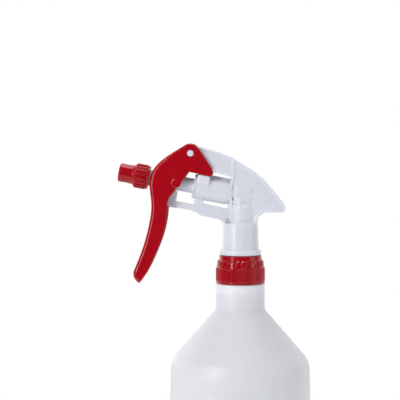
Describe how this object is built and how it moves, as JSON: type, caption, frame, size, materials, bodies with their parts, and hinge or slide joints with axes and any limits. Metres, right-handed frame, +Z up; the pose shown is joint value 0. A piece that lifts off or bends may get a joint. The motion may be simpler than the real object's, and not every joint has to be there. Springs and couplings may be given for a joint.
{
  "type": "trigger spray bottle",
  "caption": "Translucent plastic bottle with a screw-on trigger sprayer: open-frame white pump body, red trigger, red ribbed closure and red adjustable nozzle.",
  "frame": {"origin": "centre of the bottle's standing ring, on the surface it stands on", "axes": "+Z up along the bottle's axis; -X towards the nozzle; Y across the pump head"},
  "size_m": [0.1315, 0.0958, 0.2787],
  "materials": {
    "natural_hdpe": "satin, translucent",
    "white_pp": "moulded gloss",
    "red_pp": "moulded gloss",
    "grey_pp": "moulded gloss",
    "clear_ldpe": "satin, translucent",
    "foam": "matt",
    "steel": "bright"
  },
  "bodies": {
    "bottle": {"bottle": "natural_hdpe"},
    "head": {"sprayer_body": "white_pp", "valve_insert": "white_pp", "closure_gasket": "foam", "dip_tube": "clear_ldpe", "tube_filter": "white_pp", "channel_plug": "grey_pp", "barrel_guide": "white_pp", "spinner": "white_pp", "return_spring": "steel", "outlet_spring": "steel"},
    "closure": {"closure": "red_pp"},
    "trigger": {"trigger": "red_pp"},
    "piston": {"piston": "white_pp", "vent_seal": "clear_ldpe", "pressure_seal": "clear_ldpe"},
    "nozzle_seal": {"nozzle_seal": "foam"},
    "nozzle_cap": {"nozzle_cap": "red_pp"},
    "intake_ball": {"intake_ball": "steel"},
    "outlet_valve": {"outlet_valve": "white_pp"}
  },
  "joints": [
    {"name": "head_lift", "type": "slide", "parent": "bottle", "child": "head", "axis": [0, 0, 1], "range_m": [0, 0.00846]},
    {"name": "closure_turn", "type": "hinge", "parent": "head", "child": "closure", "pos_m": [0, 0, 0.19], "axis": [0, 0, 1], "range_deg": [0, 720]},
    {"name": "trigger_pull", "type": "hinge", "parent": "head", "child": "trigger", "pos_m": [-0.03373, 0, 0.2719], "axis": [0, -1, 0], "range_deg": [0, 25]},
    {"name": "piston_slide", "type": "slide", "parent": "head", "child": "piston", "axis": [0.9833, 0, -0.1822], "range_m": [0, 0.0095], "stiffness_N_per_m": 900, "springref_m": -0.009, "deforming": ["return_spring"]},
    {"name": "nozzle_advance", "type": "slide", "parent": "head", "child": "nozzle_seal", "axis": [-0.9833, 0, 0.1822], "range_m": [0, 0.0045]},
    {"name": "nozzle_turn", "type": "hinge", "parent": "nozzle_seal", "child": "nozzle_cap", "pos_m": [-0.07208, 0, 0.25704], "axis": [-0.9833, 0, 0.1822], "range_deg": [0, 540]},
    {"name": "ball_lift", "type": "slide", "parent": "head", "child": "intake_ball", "axis": [0, 0, 1], "range_m": [0, 0.0012]},
    {"name": "valve_open", "type": "slide", "parent": "head", "child": "outlet_valve", "axis": [-0.9833, 0, 0.1822], "range_m": [0, 0.0008], "stiffness_N_per_m": 300, "springref_m": -0.002, "deforming": ["outlet_spring"]}
  ],
  "couplings": [
    {"joint": "closure_turn", "follows": "head_lift", "rad_per_m": 1484.3},
    {"joint": "trigger_pull", "follows": "piston_slide", "rad_per_m": 45.85},
    {"joint": "nozzle_turn", "follows": "nozzle_advance", "rad_per_m": 2094.4}
  ]
}
